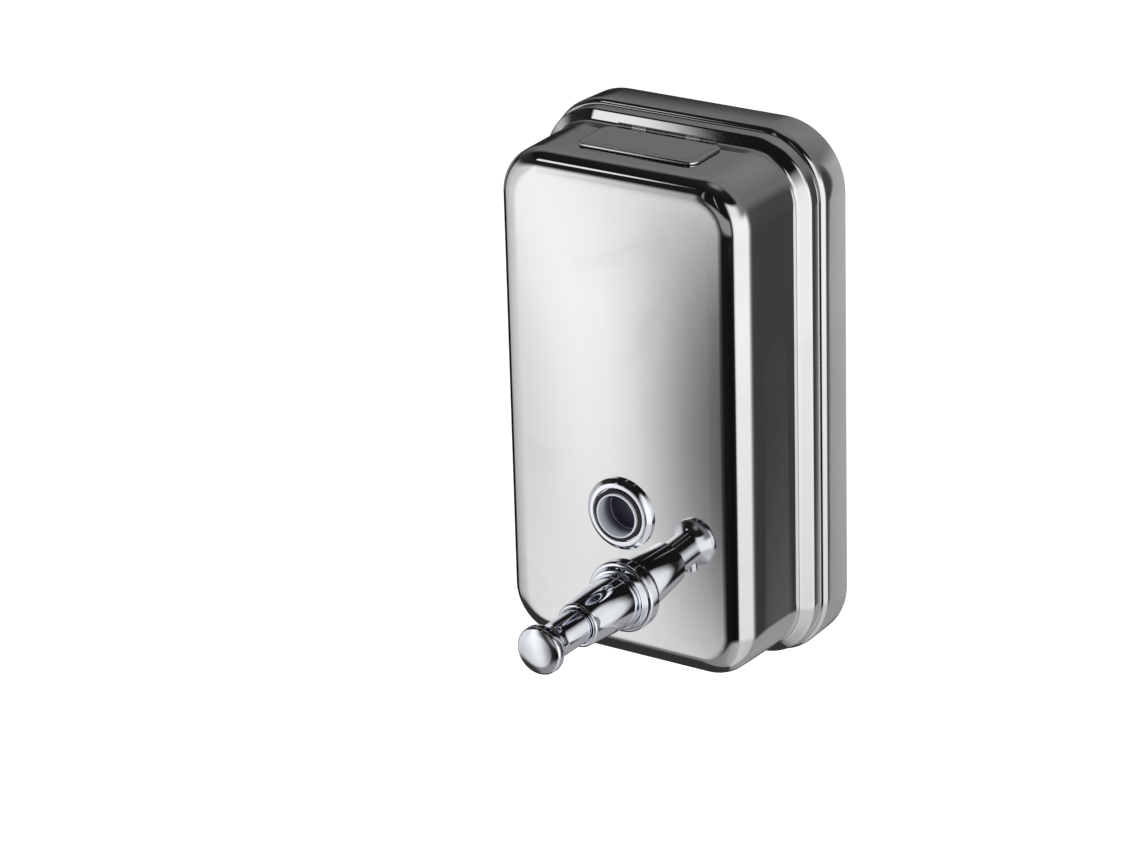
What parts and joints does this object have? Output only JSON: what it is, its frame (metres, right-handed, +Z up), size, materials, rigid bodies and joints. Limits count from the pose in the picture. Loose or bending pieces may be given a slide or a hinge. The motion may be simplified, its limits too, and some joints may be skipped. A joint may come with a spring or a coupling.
{
  "type": "wall mounted soap dispenser",
  "caption": "Wall mounted metal soap dispenser with a rounded deep-drawn tank, top filler lid, round sight window and horizontal push valve.",
  "frame": {"origin": "on the wall plane, at the middle of the rear frame", "axes": "+X along the wall to the right as the user faces it, -Y out of the wall towards the user, +Z up"},
  "size_m": [0.114, 0.1175, 0.2],
  "materials": {
    "polished_steel": "mirror polished stainless sheet",
    "plain_steel": "mill finish stainless sheet",
    "chrome": "bright chrome plate",
    "black_rubber": "matt black rubber",
    "clear_plastic": "clear moulded cup",
    "white_nylon": "natural white moulding",
    "spring_steel": "drawn wire and ground rod"
  },
  "bodies": {
    "dispenser": {"front_shell": "polished_steel", "rear_frame": "polished_steel", "tank_back": "plain_steel", "wall_bracket": "plain_steel", "hanger_rail": "plain_steel", "lid_hinge_bracket": "plain_steel", "window_bezel": "chrome", "window_nut": "chrome", "valve_flange": "chrome", "valve_nut": "chrome", "valve_barrel": "chrome", "window_seal_ring": "black_rubber", "window_gasket": "black_rubber", "valve_seal_outer": "black_rubber", "valve_seal_inner": "black_rubber", "window_lens": "clear_plastic", "filler_neck": "white_nylon", "guide_bush": "white_nylon", "pump_cylinder": "white_nylon", "inlet_housing": "white_nylon", "pickup_tube": "white_nylon", "lid_hinge_pin": "spring_steel", "return_spring": "spring_steel"},
    "lid": {"filler_lid": "polished_steel", "lid_seal": "black_rubber"},
    "plunger": {"push_button": "chrome", "plunger_stem": "spring_steel", "piston": "white_nylon", "piston_seal": "black_rubber"},
    "ball": {"inlet_ball": "spring_steel"}
  },
  "joints": [
    {"name": "lid_hinge", "type": "hinge", "parent": "dispenser", "child": "lid", "pos_m": [0, -0.02703, 0.09547], "axis": [-1, 0, 0], "range_deg": [0, 110]},
    {"name": "plunger_slide", "type": "slide", "parent": "dispenser", "child": "plunger", "axis": [0, 1, 0], "range_m": [0, 0.01], "stiffness_N_per_m": 260, "springref_m": -0.006, "deforming": ["return_spring"]},
    {"name": "inlet_ball_lift", "type": "slide", "parent": "dispenser", "child": "ball", "axis": [0, 0, 1], "range_m": [0, 0.0012]}
  ]
}
